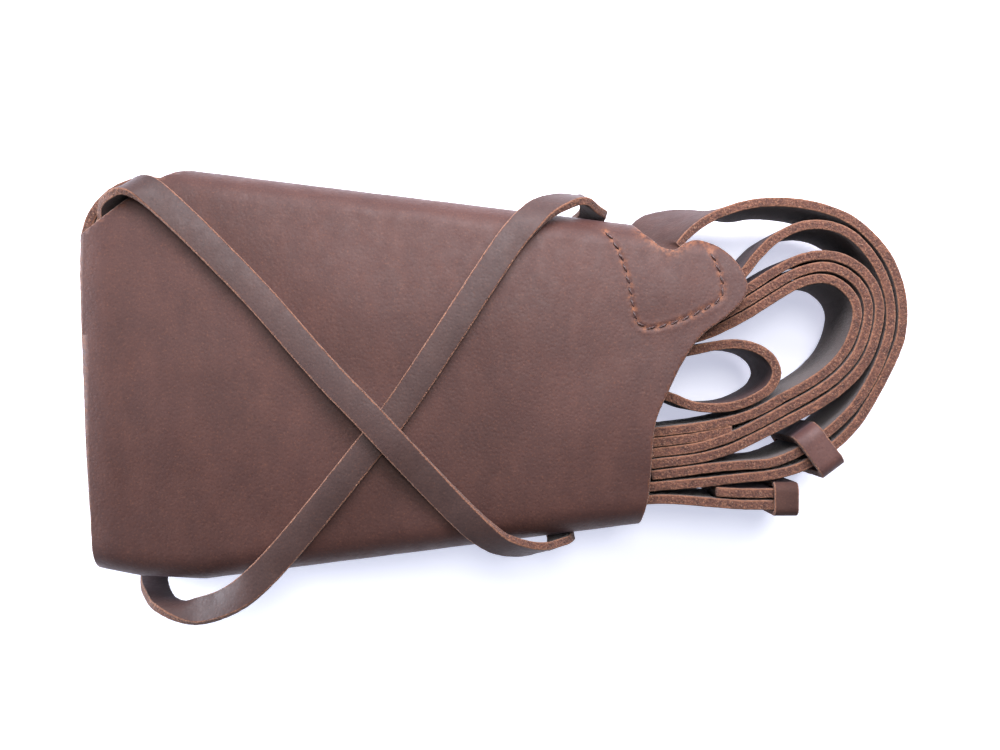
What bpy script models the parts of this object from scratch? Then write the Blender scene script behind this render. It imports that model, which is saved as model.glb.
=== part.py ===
"""A tapered leather sleeve wrapped round its own coiled straps and tied with a flat lace.

The article lies on its back on a level surface: +X runs from the wide end of the
sleeve to the coil, +Y across it, +Z up.  Coordinates along the routes are
millimetres on the surface; METRE turns them into Blender's metres, and
CENTRE_X and CENTRE_Y put the origin under the middle of the whole article.
"""

import math

import bmesh
import bpy
from mathutils import Vector

METRE = 0.001
CENTRE_X = 1.35
CENTRE_Y = 4.93

# Leather
PANEL_THICKNESS = 2.4
STRAP_THICKNESS = 1.9
STRAP_WIDTH = 25.0
LACE_WIDTH = 6.3
LACE_THICKNESS = 1.8
CLEARANCE = 0.3

# Heights of the layers, from the surface up
SLEEVE_BOTTOM = LACE_THICKNESS + CLEARANCE
STRAP_BOTTOM = SLEEVE_BOTTOM + PANEL_THICKNESS + CLEARANCE
STRAP_TOP = STRAP_BOTTOM + STRAP_WIDTH
SLEEVE_TOP = 35.0
SLEEVE_CORNER = 6.0
SLEEVE_LOWER_CORNER = 3.2
SLEEVE_GAP = 16.0

# The two long folds of the sleeve, as (x, y) from the wide end to the mouth
TOP_FOLD = [(-93, 47.4), (-72, 46.2), (30, 33.6), (60, 30.0)]
BOTTOM_FOLD = [(-93, -42.6), (-80, -44.9), (-66, -45.6), (30, -33.4), (60, -29.6)]

# Outline of the panel on top of the sleeve: the mouth, the sewn tab and its notch
MOUTH_AND_TAB = [
    (31.5, -32.0), (32.7, -26.0), (33.2, -18.0), (34.1, -9.9), (36.8, -3.5),
    (40.0, 3.0), (44.0, 8.6), (48.9, 12.3), (53.0, 16.2), (54.2, 19.2),
    (52.8, 23.3), (50.0, 26.8), (46.7, 29.0), (43.2, 29.9), (40.8, 29.2),
    (38.4, 27.6), (35.6, 28.1), (33.3, 30.0), (31.0, 32.0),
]
TAB_TIP_X = 54.6
CORNER_CUT_START = (-92.2, 30.8)
CORNER_CUT_TIP_X = -54.0
WIDE_END = [(-91.1, 0.0), (-90.1, -30.0)]

# Where the mouth crosses the side walls and the underside, and the long edges under the sleeve
LOWER_SIDE_MOUTH_X = 30.5
UPPER_SIDE_MOUTH_X = 27.0
NOTCH_FOOT_X = 28.0
NOTCH_FOOT_RISE = 8.0
UNDER_MOUTH_X = 30.0
UPPER_LONG_EDGE_XS = (-50.0, -72.0)
LOWER_LONG_EDGE_XS = (-90.0, -80.0, -66.0, -20.0)
WIDE_END_WALL_X = -89.5

# The rows of thread through the tab, and the strap end sewn under it
STITCH_ROW = [
    (23.2, 31.6), (25.2, 28.8), (27.0, 24.6), (28.4, 18.8), (29.3, 13.6), (30.1, 11.2), (31.8, 10.2),
    (36.6, 11.0), (41.0, 12.6), (45.5, 14.9), (48.0, 16.4), (48.8, 18.6), (48.1, 22.5), (46.2, 27.0),
]
THREAD_DIAMETER = 0.9

# Where the shoulder strap turns from flat to on edge: upper edge, lower edge
TWIST = [
    ((52.0, 14.8, 31.30), (28.6, 6.3, 31.30)),
    ((50.0, 20.4, 31.30), (26.6, 11.9, 31.30)),
    ((48.2, 25.0, 31.30), (24.6, 17.5, 31.30)),
    ((44.8, 26.6, 31.20), (23.4, 22.4, 30.30)),
    ((41.9, 27.0, 31.10), (23.4, 26.4, 26.40)),
    ((40.2, 27.4, 30.95), (25.2, 28.7, 20.50)),
    ((39.6, 28.1, 30.80), (28.8, 31.3, 14.60)),
    ((40.1, 29.1, 30.60), (33.2, 36.3, 9.60)),
    ((41.6, 30.9, 30.40), (38.2, 38.2, 6.80)),
    ((44.9, 33.7, 30.00), (44.3, 38.8, 5.60)),
    ((49.4, 36.1, 29.80), (50.0, 38.4, 4.80)),
]

# The shoulder strap on edge, in the order in which it is coiled
OUTER_TURN = [
    (54.5, 37.7), (60.0, 38.4), (66.0, 38.1), (72.0, 36.9), (77.6, 34.6), (82.2, 30.9),
    (86.0, 26.1), (88.4, 20.5), (89.4, 14.5), (88.9, 8.4), (86.9, 3.0), (83.4, -3.9),
    (79.6, -10.1), (75.6, -14.5), (71.1, -17.9), (66.6, -20.5), (60.1, -22.2), (53.3, -22.9),
    (44.7, -23.9), (35.0, -24.7), (0.0, -28.0), (-50.0, -34.4),
]
SECOND_TURN = [
    (-50.0, 35.9), (0.0, 21.2), (24.0, 13.6), (36.0, 11.8), (45.0, 13.9), (54.6, 18.9),
    (60.4, 22.6), (66.1, 25.6), (71.0, 26.6), (75.6, 26.0), (79.6, 23.8), (82.6, 20.3),
    (84.1, 15.5), (83.5, 9.6), (81.3, 3.5), (77.0, -1.9), (71.1, -6.3), (64.4, -9.9),
    (57.8, -13.3), (51.1, -16.5), (44.4, -18.4), (35.0, -19.6), (0.0, -24.6), (-50.0, -31.0),
]
THIRD_TURN = [
    (-50.0, 32.5), (0.0, 18.2), (24.0, 11.1), (36.0, 9.4), (45.0, 11.3), (54.6, 16.1),
    (60.4, 19.7), (66.1, 22.8), (71.0, 24.0), (74.8, 23.5), (78.1, 21.6), (80.5, 18.9),
    (81.7, 15.2), (81.2, 10.4), (79.1, 4.8), (75.3, 0.1), (69.9, -3.9), (63.3, -7.6),
    (56.8, -11.1), (50.4, -14.0), (44.0, -16.0), (35.0, -17.2), (0.0, -21.6), (-50.0, -27.6),
]
FOURTH_TURN = [
    (-50.0, 28.5), (0.0, 15.0), (24.0, 8.6), (36.0, 7.0), (45.0, 8.7), (54.6, 13.3),
    (60.4, 16.9), (66.1, 20.2), (70.6, 21.4), (74.0, 20.9), (76.6, 19.2), (78.3, 17.2),
    (79.2, 14.6), (78.9, 11.2), (77.0, 6.2), (73.6, 1.9), (68.6, -1.8), (62.2, -5.3),
    (58.6, -7.4), (54.2, -9.3), (49.0, -10.7), (43.0, -11.7), (35.0, -12.6), (0.0, -16.0), (-40.0, -20.5),
]
INNER_LOOP = [
    (-46.0, 0.5), (0.0, -3.0), (24.0, -3.6), (33.5, -3.6), (38.0, -5.0), (43.0, -6.9),
    (48.0, -7.3), (52.6, -6.7), (57.0, -4.9), (60.2, -2.5), (61.4, 0.6), (60.1, 3.7),
    (57.0, 5.9), (52.6, 6.9), (47.8, 6.5), (42.6, 5.4), (36.0, 4.3), (24.0, 5.0), (0.0, 10.0), (-50.0, 22.0),
]
STRAP_TAIL = [
    (-50.0, -24.2), (0.0, -18.8), (35.0, -14.9), (44.0, -13.8), (48.4, -12.9), (51.6, -12.2),
]

# The adjusting strap, from its free end by the mouth to the one past the small keeper
ADJUSTER_OUT = [
    (33.7, -22.3), (39.6, -21.6), (46.0, -20.7), (53.3, -20.0), (60.0, -19.5), (65.2, -17.6),
    (70.0, -14.7), (74.4, -11.3), (78.6, -7.0), (82.4, -1.0), (85.1, 5.2), (86.6, 11.0),
    (86.5, 17.0), (84.6, 23.0), (81.4, 27.8), (77.6, 31.3), (72.5, 33.2), (66.8, 33.0),
    (61.0, 30.2), (57.0, 26.3), (53.4, 21.9), (48.0, 18.4), (36.0, 15.0), (24.0, 16.7),
    (0.0, 24.4), (-50.0, 38.5),
]
ADJUSTER_BACK = [
    (-50.0, -38.4), (0.0, -31.2), (30.0, -27.9), (37.0, -27.6), (46.0, -28.2), (54.0, -28.8),
    (60.0, -28.8), (62.3, -28.8),
]
ADJUSTER_TAIL = [(62.3, -26.2), (60.0, -26.2), (53.6, -26.2), (48.0, -25.9)]
HAIRPIN_REACH = 1.4
HAIRPIN_BEND = 1.3

# Turns at the wide end of the sleeve: left side, lower run, upper run, corner radius;
# their lower corners stand further in by the lean
LEFT_LEAN = 1.8
LEFT_TURNS = {
    "adjuster": (-92.0, -39.0, 42.9, 13.8),
    "outer": (-87.0, -36.2, 38.4, 12.0),
    "second": (-84.4, -33.2, 35.2, 12.0),
    "third": (-81.5, -30.2, 32.0, 12.0),
    "tail": (-78.4, -27.2, 27.6, 12.0),
    "inner": (-70.0, -22.6, 1.6, 11.0),
}

# The lace: centre point and the direction across it, from the tail to the free end
LACE = [
    ((-89.1, 6.0, 28.9), (0.0, 0.0, 1.0)),
    ((-89.6, 20.0, 28.9), (0.0, 0.0, 1.0)),
    ((-89.4, 29.0, 28.9), (0.0, 0.0, 1.0)),
    ((-88.8, 33.4, 28.9), (0.0, 0.0, 1.0)),
    ((-87.65, 35.45, 28.9), (0.0, 0.0, 1.0)),
    ((-86.2, 37.35, 31.5), (-0.12, 0.12, 1.0)),
    ((-84.25, 39.1, 35.1), (-0.1, 0.06, 1.0)),
    ((-80.9, 41.1, 36.9), (-0.35, -0.5, 0.75)),
    ((-77.7, 40.8, 37.6), (-0.55, -0.65, 0.42)),
    ((-74.8, 38.9, 37.5), (-0.65, -0.7, 0.25)),
    ((-71.6, 36.1, 37.3), (-0.68, -0.7, 0.2)),
    ((-65.4, 30.2, 37.0), (-0.7, -0.7, 0.16)),
    ((-52.2, 16.8, 36.8), (-0.7, -0.7, 0.1)),
    ((-41.0, 4.2, 37.2), (-0.72, -0.7, 0.06)),
    ((-35.0, -2.2, 38.1), (-0.72, -0.7, 0.0)),
    ((-30.5, -6.7, 38.7), (-0.72, -0.7, 0.0)),
    ((-26.2, -11.2, 38.8), (-0.72, -0.7, 0.0)),
    ((-21.9, -15.9, 38.6), (-0.72, -0.68, 0.0)),
    ((-17.4, -20.8, 37.6), (-0.73, -0.66, -0.06)),
    ((-11.0, -27.6, 36.8), (-0.72, -0.64, -0.14)),
    ((-4.6, -33.8, 36.4), (-0.66, -0.66, -0.3)),
    ((0.0, -37.0, 35.2), (-0.48, -0.62, -0.62)),
    ((5.0, -38.3, 33.6), (-0.2, -0.45, -0.87)),
    ((9.4, -38.2, 32.2), (0.0, -0.15, -0.99)),
    ((12.5, -37.6, 29.8), (-0.1, -0.1, -1.0)),
    ((13.7, -37.4, 24.8), (-0.6, -0.25, -0.5)),
    ((14.0, -37.3, 17.0), (-0.95, -0.1, -0.1)),
    ((14.1, -37.2, 9.0), (-1.0, 0.0, 0.0)),
    ((14.1, -37.1, 4.2), (-1.0, 0.0, 0.0)),
    ((14.2, -33.9, 1.3), (-1.0, 0.0, 0.0)),
    ((14.4, -28.0, 0.9), (-1.0, 0.08, 0.0)),
    ((15.8, -12.0, 0.9), (-1.0, 0.1, 0.0)),
    ((18.2, 12.0, 0.9), (-1.0, 0.1, 0.0)),
    ((20.0, 29.4, 0.9), (-1.0, 0.1, 0.0)),
    ((20.5, 34.8, 1.9), (-1.0, 0.1, 0.0)),
    ((20.2, 36.7, 5.6), (-1.0, 0.1, 0.0)),
    ((20.5, 36.5, 13.0), (-0.97, 0.15, 0.0)),
    ((21.0, 36.6, 20.0), (-0.9, 0.15, -0.2)),
    ((21.0, 37.1, 26.0), (-0.6, 0.2, -0.6)),
    ((19.9, 38.0, 30.4), (-0.15, 0.15, -0.95)),
    ((18.2, 38.7, 32.3), (0.0, 0.12, -1.0)),
    ((14.7, 38.5, 33.6), (-0.25, 0.4, -0.88)),
    ((9.4, 36.5, 35.5), (-0.58, 0.62, -0.53)),
    ((6.3, 33.9, 36.6), (-0.72, 0.66, -0.22)),
    ((2.2, 29.2, 36.5), (-0.82, 0.56, 0.0)),
    ((-3.1, 21.3, 36.4), (-0.83, 0.55, 0.0)),
    ((-12.6, 6.6, 36.3), (-0.83, 0.55, 0.0)),
    ((-22.6, -8.2, 36.3), (-0.83, 0.55, 0.0)),
    ((-32.0, -20.2, 36.3), (-0.8, 0.6, 0.0)),
    ((-41.7, -32.2, 36.3), (-0.78, 0.62, 0.0)),
    ((-49.0, -40.6, 36.4), (-0.74, 0.66, 0.0)),
    ((-53.2, -44.9, 36.3), (-0.66, 0.74, -0.1)),
    ((-56.9, -48.0, 35.4), (-0.42, 0.88, -0.25)),
    ((-61.4, -50.6, 33.7), (-0.26, 0.86, -0.45)),
    ((-66.6, -52.3, 31.4), (-0.05, 0.84, -0.55)),
    ((-71.4, -52.5, 28.6), (0.05, 0.4, -0.9)),
    ((-75.6, -51.6, 24.6), (0.15, 0.15, -0.97)),
    ((-79.2, -50.2, 17.8), (0.45, 0.0, -0.85)),
    ((-82.0, -48.8, 9.8), (0.9, 0.0, -0.35)),
    ((-83.4, -47.2, 3.8), (1.0, 0.0, 0.0)),
    ((-83.9, -43.4, 1.3), (1.0, 0.0, 0.0)),
    ((-84.0, -37.0, 0.9), (1.0, 0.0, 0.0)),
    ((-84.0, -18.0, 0.9), (1.0, 0.0, 0.0)),
    ((-84.0, 4.0, 0.9), (1.0, 0.0, 0.0)),
    ((-84.0, 24.0, 0.9), (1.0, 0.0, 0.0)),
]

# The keepers: middle, direction along the strap, outside size across the strap, along it, wall
LARGE_KEEPER = ((70.6, -16.6), (-0.80, -0.60), 11.4, 6.0, 1.9)
SMALL_KEEPER = ((63.3, -27.5), (-1.0, 0.0), 7.5, 5.4, 1.1)
KEEPER_CLEARANCE = 0.4
KEEPER_INNER_CORNER = 0.8

PANEL_COLOUR = (0.20, 0.115, 0.098)
STRAP_COLOUR = (0.17, 0.10, 0.085)
KEEPER_COLOUR = (0.17, 0.095, 0.08)
LACE_COLOUR = (0.12, 0.08, 0.07)
THREAD_COLOUR = (0.05, 0.025, 0.02)

CURVE_TOLERANCE = 0.06
LACE_TOLERANCE = 0.12
STEPS_BETWEEN_POINTS = 8
CORNER_STEPS = 5
HAIRPIN_STEPS = 5
WELD_DISTANCE = 1e-4


# ---------------------------------------------------------------- curves


def catmull_rom(points, steps=STEPS_BETWEEN_POINTS):
    """A smooth curve through all the points, in any number of dimensions."""
    first = points[0] + (points[0] - points[1])
    last = points[-1] + (points[-1] - points[-2])
    padded = [first, *points, last]
    curve = []
    for before, start, end, after in zip(padded, padded[1:], padded[2:], padded[3:]):
        spans = [max((b - a).length, 1e-6) ** 0.5 for a, b in ((before, start), (start, end), (end, after))]
        leave = ((start - before) / spans[0] - (end - before) / (spans[0] + spans[1])
                 + (end - start) / spans[1]) * spans[1]
        arrive = ((end - start) / spans[1] - (after - start) / (spans[1] + spans[2])
                  + (after - end) / spans[2]) * spans[1]
        for step in range(steps):
            t = step / steps
            curve.append(
                start * (2 * t**3 - 3 * t**2 + 1)
                + leave * (t**3 - 2 * t**2 + t)
                + end * (3 * t**2 - 2 * t**3)
                + arrive * (t**3 - t**2)
            )
    curve.append(points[-1].copy())
    return curve


def thinned(points, tolerance):
    """The fewest of the points that keep the curve within the tolerance."""
    if len(points) < 3:
        return points
    along = points[-1] - points[0]
    worst, place = 0.0, 0
    for i, point in enumerate(points[1:-1], 1):
        offset = point - points[0]
        if along.length > 1e-9:
            offset = offset - along * (offset.dot(along) / along.length_squared)
        if offset.length > worst:
            worst, place = offset.length, i
    if worst <= tolerance:
        return [points[0], points[-1]]
    return thinned(points[: place + 1], tolerance)[:-1] + thinned(points[place:], tolerance)


def along(table, x):
    """The height of a bent line, given as (x, y) corners, at x."""
    for (x0, y0), (x1, y1) in zip(table, table[1:]):
        if x <= x1:
            return y0 + (y1 - y0) * (x - x0) / (x1 - x0)
    return table[-1][1]


def left_turn(name, upward=True):
    """A run's turn at the wide end: in along the lower run, round and out along the upper one."""
    left, low, high, radius = LEFT_TURNS[name]
    radius = min(radius, 0.49 * (high - low))
    turn = []
    for middle_y, start, lean in ((low + radius, -90, LEFT_LEAN), (high - radius, -180, 0.0)):
        middle_x = left + radius + lean
        for step in range(CORNER_STEPS + 1):
            angle = math.radians(start - 90 * step / CORNER_STEPS)
            turn.append((middle_x + radius * math.cos(angle), middle_y + radius * math.sin(angle)))
    return turn if upward else turn[::-1]


# ---------------------------------------------------------------- meshes


def place(point):
    """Millimetres on the surface to metres about the origin."""
    return Vector(((point[0] + CENTRE_X) * METRE, (point[1] + CENTRE_Y) * METRE, point[2] * METRE))


def leather(name, colour, roughness):
    material = bpy.data.materials.new(name)
    material.use_nodes = True
    shader = material.node_tree.nodes["Principled BSDF"]
    shader.inputs["Base Color"].default_value = (*colour, 1.0)
    shader.inputs["Roughness"].default_value = roughness
    shader.inputs["Metallic"].default_value = 0.0
    return material


def new_object(name, mesh, material):
    mesh.materials.append(material)
    piece = bpy.data.objects.new(name, mesh)
    bpy.context.scene.collection.objects.link(piece)
    return piece


def mesh_from(name, points, faces):
    """A closed mesh from points in millimetres, its faces pointing out."""
    body = bmesh.new()
    corners = [body.verts.new(place(point)) for point in points]
    for face in faces:
        body.faces.new([corners[i] for i in face])
    bmesh.ops.triangulate(body, faces=[face for face in body.faces if len(face.verts) > 4])
    bmesh.ops.recalc_face_normals(body, faces=body.faces)
    mesh = bpy.data.meshes.new(name)
    body.to_mesh(mesh)
    body.free()
    return mesh


def ribbon(name, stations, thickness, material):
    """A flat strip; each station is its middle and the vector from the middle to one edge."""
    points = []
    for i, (middle, half_width) in enumerate(stations):
        ahead = stations[min(i + 1, len(stations) - 1)][0] - stations[max(i - 1, 0)][0]
        half_depth = ahead.cross(half_width).normalized() * (0.5 * thickness)
        for side, face in ((1, 1), (-1, 1), (-1, -1), (1, -1)):
            points.append(middle + half_width * side + half_depth * face)
    faces = [(0, 1, 2, 3), tuple(len(points) - 4 + i for i in range(4))]
    for i in range(len(stations) - 1):
        for corner in range(4):
            following = (corner + 1) % 4
            faces.append((4 * i + corner, 4 * i + following, 4 * i + 4 + following, 4 * i + 4 + corner))
    return new_object(name, mesh_from(name, points, faces), material)


def on_edge(route):
    """Stations of a strap that stands on its edge along a route of (x, y) points."""
    smooth = thinned(catmull_rom([Vector((x, y, 0.0)) for x, y in route]), CURVE_TOLERANCE)
    middle = Vector((0.0, 0.0, 0.5 * (STRAP_BOTTOM + STRAP_TOP)))
    return [(point + middle, Vector((0.0, 0.0, 0.5 * STRAP_WIDTH))) for point in smooth]


def between_edges(edges):
    """Stations of a strap that is given by its two edges."""
    upper = catmull_rom([Vector(edge) for edge, _ in edges], 3)
    lower = catmull_rom([Vector(edge) for _, edge in edges], 3)
    return [((a + b) / 2, (a - b) / 2) for a, b in zip(upper, lower)]


def keeper(name, layout, material):
    """A band closed round upright straps, with its own origin in its middle."""
    (x, y), direction, across, width, wall = layout
    run = Vector((*direction, 0.0)).normalized()
    side = Vector((-run.y, run.x, 0.0))
    low = STRAP_BOTTOM - KEEPER_CLEARANCE - wall
    high = STRAP_TOP + KEEPER_CLEARANCE + wall
    corner = wall + KEEPER_INNER_CORNER
    middle = Vector((x, y, 0.0))

    def outline(inset):
        """Points round a rounded rectangle across the straps."""
        half, bottom, top, radius = 0.5 * across - inset, low + inset, high - inset, corner - inset
        ring = []
        centres = (
            (half - radius, top - radius, 0),
            (radius - half, top - radius, 90),
            (radius - half, bottom + radius, 180),
            (half - radius, bottom + radius, 270),
        )
        for s, z, start in centres:
            for step in range(CORNER_STEPS):
                angle = math.radians(start + 90 * step / (CORNER_STEPS - 1))
                ring.append(side * (s + radius * math.cos(angle))
                            + Vector((0.0, 0.0, z + radius * math.sin(angle))))
        return ring

    rings = [[middle + run * (0.5 * width * end) + point for point in outline(inset)]
             for end, inset in ((-1, 0.0), (1, 0.0), (1, wall), (-1, wall))]
    count = len(rings[0])
    points = [point for ring in rings for point in ring]
    faces = []
    for band in range(4):
        for i in range(count):
            j = (i + 1) % count
            following = (band + 1) % 4
            faces.append((band * count + i, band * count + j, following * count + j, following * count + i))
    mesh = mesh_from(name, points, faces)
    origin = place((x, y, 0.5 * (low + high)))
    for vertex in mesh.vertices:
        vertex.co -= origin
    piece = new_object(name, mesh, material)
    piece.location = origin
    return piece


# ---------------------------------------------------------------- the sleeve


def fold(side, x):
    """Distance of a fold from the line y = 0, on the top fold's side or the bottom one's."""
    return along(TOP_FOLD, x) if side > 0 else -along(BOTTOM_FOLD, x)


def bends(side, x):
    """Distances over the leather at which it starts or stops bending: corner, wall, corner, underside."""
    upper = fold(side, x) - SLEEVE_CORNER
    wall = upper + 0.5 * math.pi * SLEEVE_CORNER
    lower = wall + SLEEVE_TOP - SLEEVE_BOTTOM - SLEEVE_CORNER - SLEEVE_LOWER_CORNER
    return upper, wall, lower, lower + 0.5 * math.pi * SLEEVE_LOWER_CORNER


def wall_middle(side, x):
    _, wall, lower, _ = bends(side, x)
    return side * 0.5 * (wall + lower)


def long_edge(side, x):
    under_half = fold(side, x) - SLEEVE_LOWER_CORNER - 0.5 * SLEEVE_GAP
    return side * (bends(side, x)[3] + under_half)


def wrapped(x, around, depth):
    """A point of the panel: around is measured over the leather from y = 0, depth is inwards."""
    side = 1 if around >= 0 else -1
    rest = abs(around)
    upper, wall, lower, under = bends(side, x)
    outside = fold(side, x)
    if rest <= upper:
        return Vector((x, side * rest, SLEEVE_TOP - depth))
    if rest <= wall:
        angle = (rest - upper) / SLEEVE_CORNER
        reach = SLEEVE_CORNER - depth
        return Vector((x, side * (outside - SLEEVE_CORNER + reach * math.sin(angle)),
                       SLEEVE_TOP - SLEEVE_CORNER + reach * math.cos(angle)))
    if rest <= lower:
        return Vector((x, side * (outside - depth), SLEEVE_TOP - SLEEVE_CORNER - (rest - wall)))
    if rest <= under:
        angle = (rest - lower) / SLEEVE_LOWER_CORNER
        reach = SLEEVE_LOWER_CORNER - depth
        return Vector((x, side * (outside - SLEEVE_LOWER_CORNER + reach * math.cos(angle)),
                       SLEEVE_BOTTOM + SLEEVE_LOWER_CORNER - reach * math.sin(angle)))
    return Vector((x, side * (outside - SLEEVE_LOWER_CORNER - (rest - under)), SLEEVE_BOTTOM + depth))


def around_at(x, y):
    """The distance over the leather of a point that is seen on top at (x, y)."""
    side = 1 if y >= 0 else -1
    upper = bends(side, x)[0]
    beyond = abs(y) - upper
    if beyond <= 0:
        return y
    return side * (upper + SLEEVE_CORNER * math.asin(min(beyond / SLEEVE_CORNER, 1.0)))


def panel_outline():
    """The cut edge of the flat panel as (x, around) points, anticlockwise."""
    seen = [Vector((x, around_at(x, y), 0.0)) for x, y in MOUTH_AND_TAB]
    mouth = [Vector((UNDER_MOUTH_X, long_edge(-1, UNDER_MOUTH_X), 0.0)),
             Vector((LOWER_SIDE_MOUTH_X, wall_middle(-1, LOWER_SIDE_MOUTH_X), 0.0)),
             *seen,
             Vector((NOTCH_FOOT_X, wall_middle(1, NOTCH_FOOT_X) - NOTCH_FOOT_RISE, 0.0)),
             Vector((UPPER_SIDE_MOUTH_X, wall_middle(1, UPPER_SIDE_MOUTH_X), 0.0)),
             Vector((UNDER_MOUTH_X, long_edge(1, UNDER_MOUTH_X), 0.0))]
    outline = thinned(catmull_rom(mouth), CURVE_TOLERANCE)
    left = CORNER_CUT_START[0]
    outline += [Vector((x, long_edge(1, x), 0.0)) for x in (*UPPER_LONG_EDGE_XS, left)]
    lower_cut = wall_middle(1, left) * 2 - CORNER_CUT_START[1]
    outline.append(Vector((left, lower_cut, 0.0)))
    outline.append(Vector((CORNER_CUT_TIP_X, wall_middle(1, CORNER_CUT_TIP_X), 0.0)))
    outline.append(Vector((*CORNER_CUT_START, 0.0)))
    outline += [Vector((x, y, 0.0)) for x, y in WIDE_END]
    outline.append(Vector((WIDE_END_WALL_X, wall_middle(-1, WIDE_END_WALL_X), 0.0)))
    outline += [Vector((x, long_edge(-1, x), 0.0)) for x in LOWER_LONG_EDGE_XS]
    return outline


def crease_lines():
    """Lines along the sleeve, as functions of x, that let the flat mesh follow each bend."""
    lines = []
    for side in (1, -1):
        for first in (0, 2):
            for step in range(CORNER_STEPS + 1):
                part = step / CORNER_STEPS
                lines.append(lambda x, side=side, first=first, part=part: side * (
                    bends(side, x)[first] * (1 - part) + bends(side, x)[first + 1] * part))
    return lines


def sleeve_panel(material):
    flat = bmesh.new()
    flat.faces.new([flat.verts.new(point) for point in panel_outline()])
    stations = sorted({x for x, _ in TOP_FOLD + BOTTOM_FOLD if CORNER_CUT_START[0] < x < TAB_TIP_X})
    for x in stations:
        bmesh.ops.bisect_plane(flat, geom=[*flat.verts, *flat.edges, *flat.faces],
                               plane_co=(x, 0.0, 0.0), plane_no=(1.0, 0.0, 0.0))
    ends = [CORNER_CUT_START[0], *stations, TAB_TIP_X]
    for low, high in zip(ends, ends[1:]):
        for line in crease_lines():
            a = Vector((low, line(low), 0.0))
            b = Vector((high, line(high), 0.0))
            normal = Vector((a.y - b.y, b.x - a.x, 0.0)).normalized()
            inside = [face for face in flat.faces if low < face.calc_center_median().x < high]
            parts = {*inside, *(edge for face in inside for edge in face.edges),
                     *(vertex for face in inside for vertex in face.verts)}
            bmesh.ops.bisect_plane(flat, geom=list(parts), plane_co=a, plane_no=normal)
    bmesh.ops.remove_doubles(flat, verts=flat.verts, dist=WELD_DISTANCE)
    bmesh.ops.triangulate(flat, faces=[face for face in flat.faces if len(face.verts) > 4])
    flat.verts.index_update()
    pattern = [vertex.co.copy() for vertex in flat.verts]
    cells = [[vertex.index for vertex in face.verts] for face in flat.faces]
    rim = [[vertex.index for vertex in edge.verts] for edge in flat.edges if edge.is_boundary]
    flat.free()
    count = len(pattern)
    points = [wrapped(point.x, point.y, depth) for depth in (0.0, PANEL_THICKNESS) for point in pattern]
    faces = [tuple(cell) for cell in cells]
    faces += [tuple(i + count for i in reversed(cell)) for cell in cells]
    faces += [(a, b, b + count, a + count) for a, b in rim]
    return new_object("sleeve_panel", mesh_from("sleeve_panel", points, faces), material)


# ---------------------------------------------------------------- straps, lace and thread


def shoulder_strap(material):
    route = [
        *OUTER_TURN, *left_turn("outer"), *SECOND_TURN, *left_turn("second"), *THIRD_TURN,
        *left_turn("third"), *FOURTH_TURN, *left_turn("inner"), *INNER_LOOP,
        *left_turn("tail", upward=False), *STRAP_TAIL,
    ]
    return ribbon("shoulder_strap", between_edges(TWIST) + on_edge(route), STRAP_THICKNESS, material)


def adjusting_strap(material):
    (x, low), (_, high) = ADJUSTER_BACK[-1], ADJUSTER_TAIL[0]
    middle = 0.5 * (low + high)
    bend = []
    for step in range(HAIRPIN_STEPS + 1):
        angle = math.pi * (step / HAIRPIN_STEPS - 0.5)
        bend.append((x + HAIRPIN_REACH + HAIRPIN_BEND * math.cos(angle),
                     middle + 0.5 * (high - low) * math.sin(angle)))
    route = [*ADJUSTER_OUT, *left_turn("adjuster", upward=False), *ADJUSTER_BACK, *bend, *ADJUSTER_TAIL]
    return ribbon("adjusting_strap", on_edge(route), STRAP_THICKNESS, material)


def tie_lace(material):
    middles = catmull_rom([Vector(middle) for middle, _ in LACE], 5)
    across = catmull_rom([Vector(direction) for _, direction in LACE], 5)
    stations = []
    for i, (middle, direction) in enumerate(zip(middles, across)):
        ahead = (middles[min(i + 1, len(middles) - 1)] - middles[max(i - 1, 0)]).normalized()
        square = (direction - ahead * direction.dot(ahead)).normalized()
        middle.z = max(middle.z, 0.5 * LACE_THICKNESS)
        stations.append((middle, square * (0.5 * LACE_WIDTH)))
    keep = set()
    for place_in_space in thinned([middle for middle, _ in stations], LACE_TOLERANCE):
        keep.add(tuple(place_in_space))
    straight = [station for i, station in enumerate(stations) if tuple(station[0]) in keep or i % 3 == 0]
    return ribbon("tie_lace", straight, LACE_THICKNESS, material)


def tab_stitching(material):
    """One thread sewn round the strap end, as it lies on the face of the tab."""
    height = SLEEVE_TOP + CLEARANCE + 0.5 * THREAD_DIAMETER
    path = thinned(catmull_rom([Vector((x, y, height)) for x, y in STITCH_ROW], 4), CURVE_TOLERANCE)
    curve = bpy.data.curves.new("tab_stitching", "CURVE")
    curve.dimensions = "3D"
    curve.bevel_depth = 0.5 * THREAD_DIAMETER * METRE
    curve.bevel_resolution = 1
    curve.use_fill_caps = True
    spline = curve.splines.new("POLY")
    spline.points.add(len(path) - 1)
    for point, position in zip(spline.points, path):
        point.co = (*place(position), 1.0)
    return new_object("tab_stitching", curve, material)


def main():
    for old in list(bpy.data.objects):
        bpy.data.objects.remove(old, do_unlink=True)
    sleeve_panel(leather("panel_leather", PANEL_COLOUR, 0.5))
    shoulder_strap(leather("strap_leather", STRAP_COLOUR, 0.6))
    adjusting_strap(leather("adjuster_leather", STRAP_COLOUR, 0.6))
    keeper("large_keeper", LARGE_KEEPER, leather("large_keeper_leather", KEEPER_COLOUR, 0.5))
    keeper("small_keeper", SMALL_KEEPER, leather("small_keeper_leather", KEEPER_COLOUR, 0.5))
    tie_lace(leather("lace_leather", LACE_COLOUR, 0.55))
    tab_stitching(leather("thread", THREAD_COLOUR, 0.7))


main()
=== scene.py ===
import math

import bmesh
import bpy
import numpy as np
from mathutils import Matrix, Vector, noise


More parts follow.
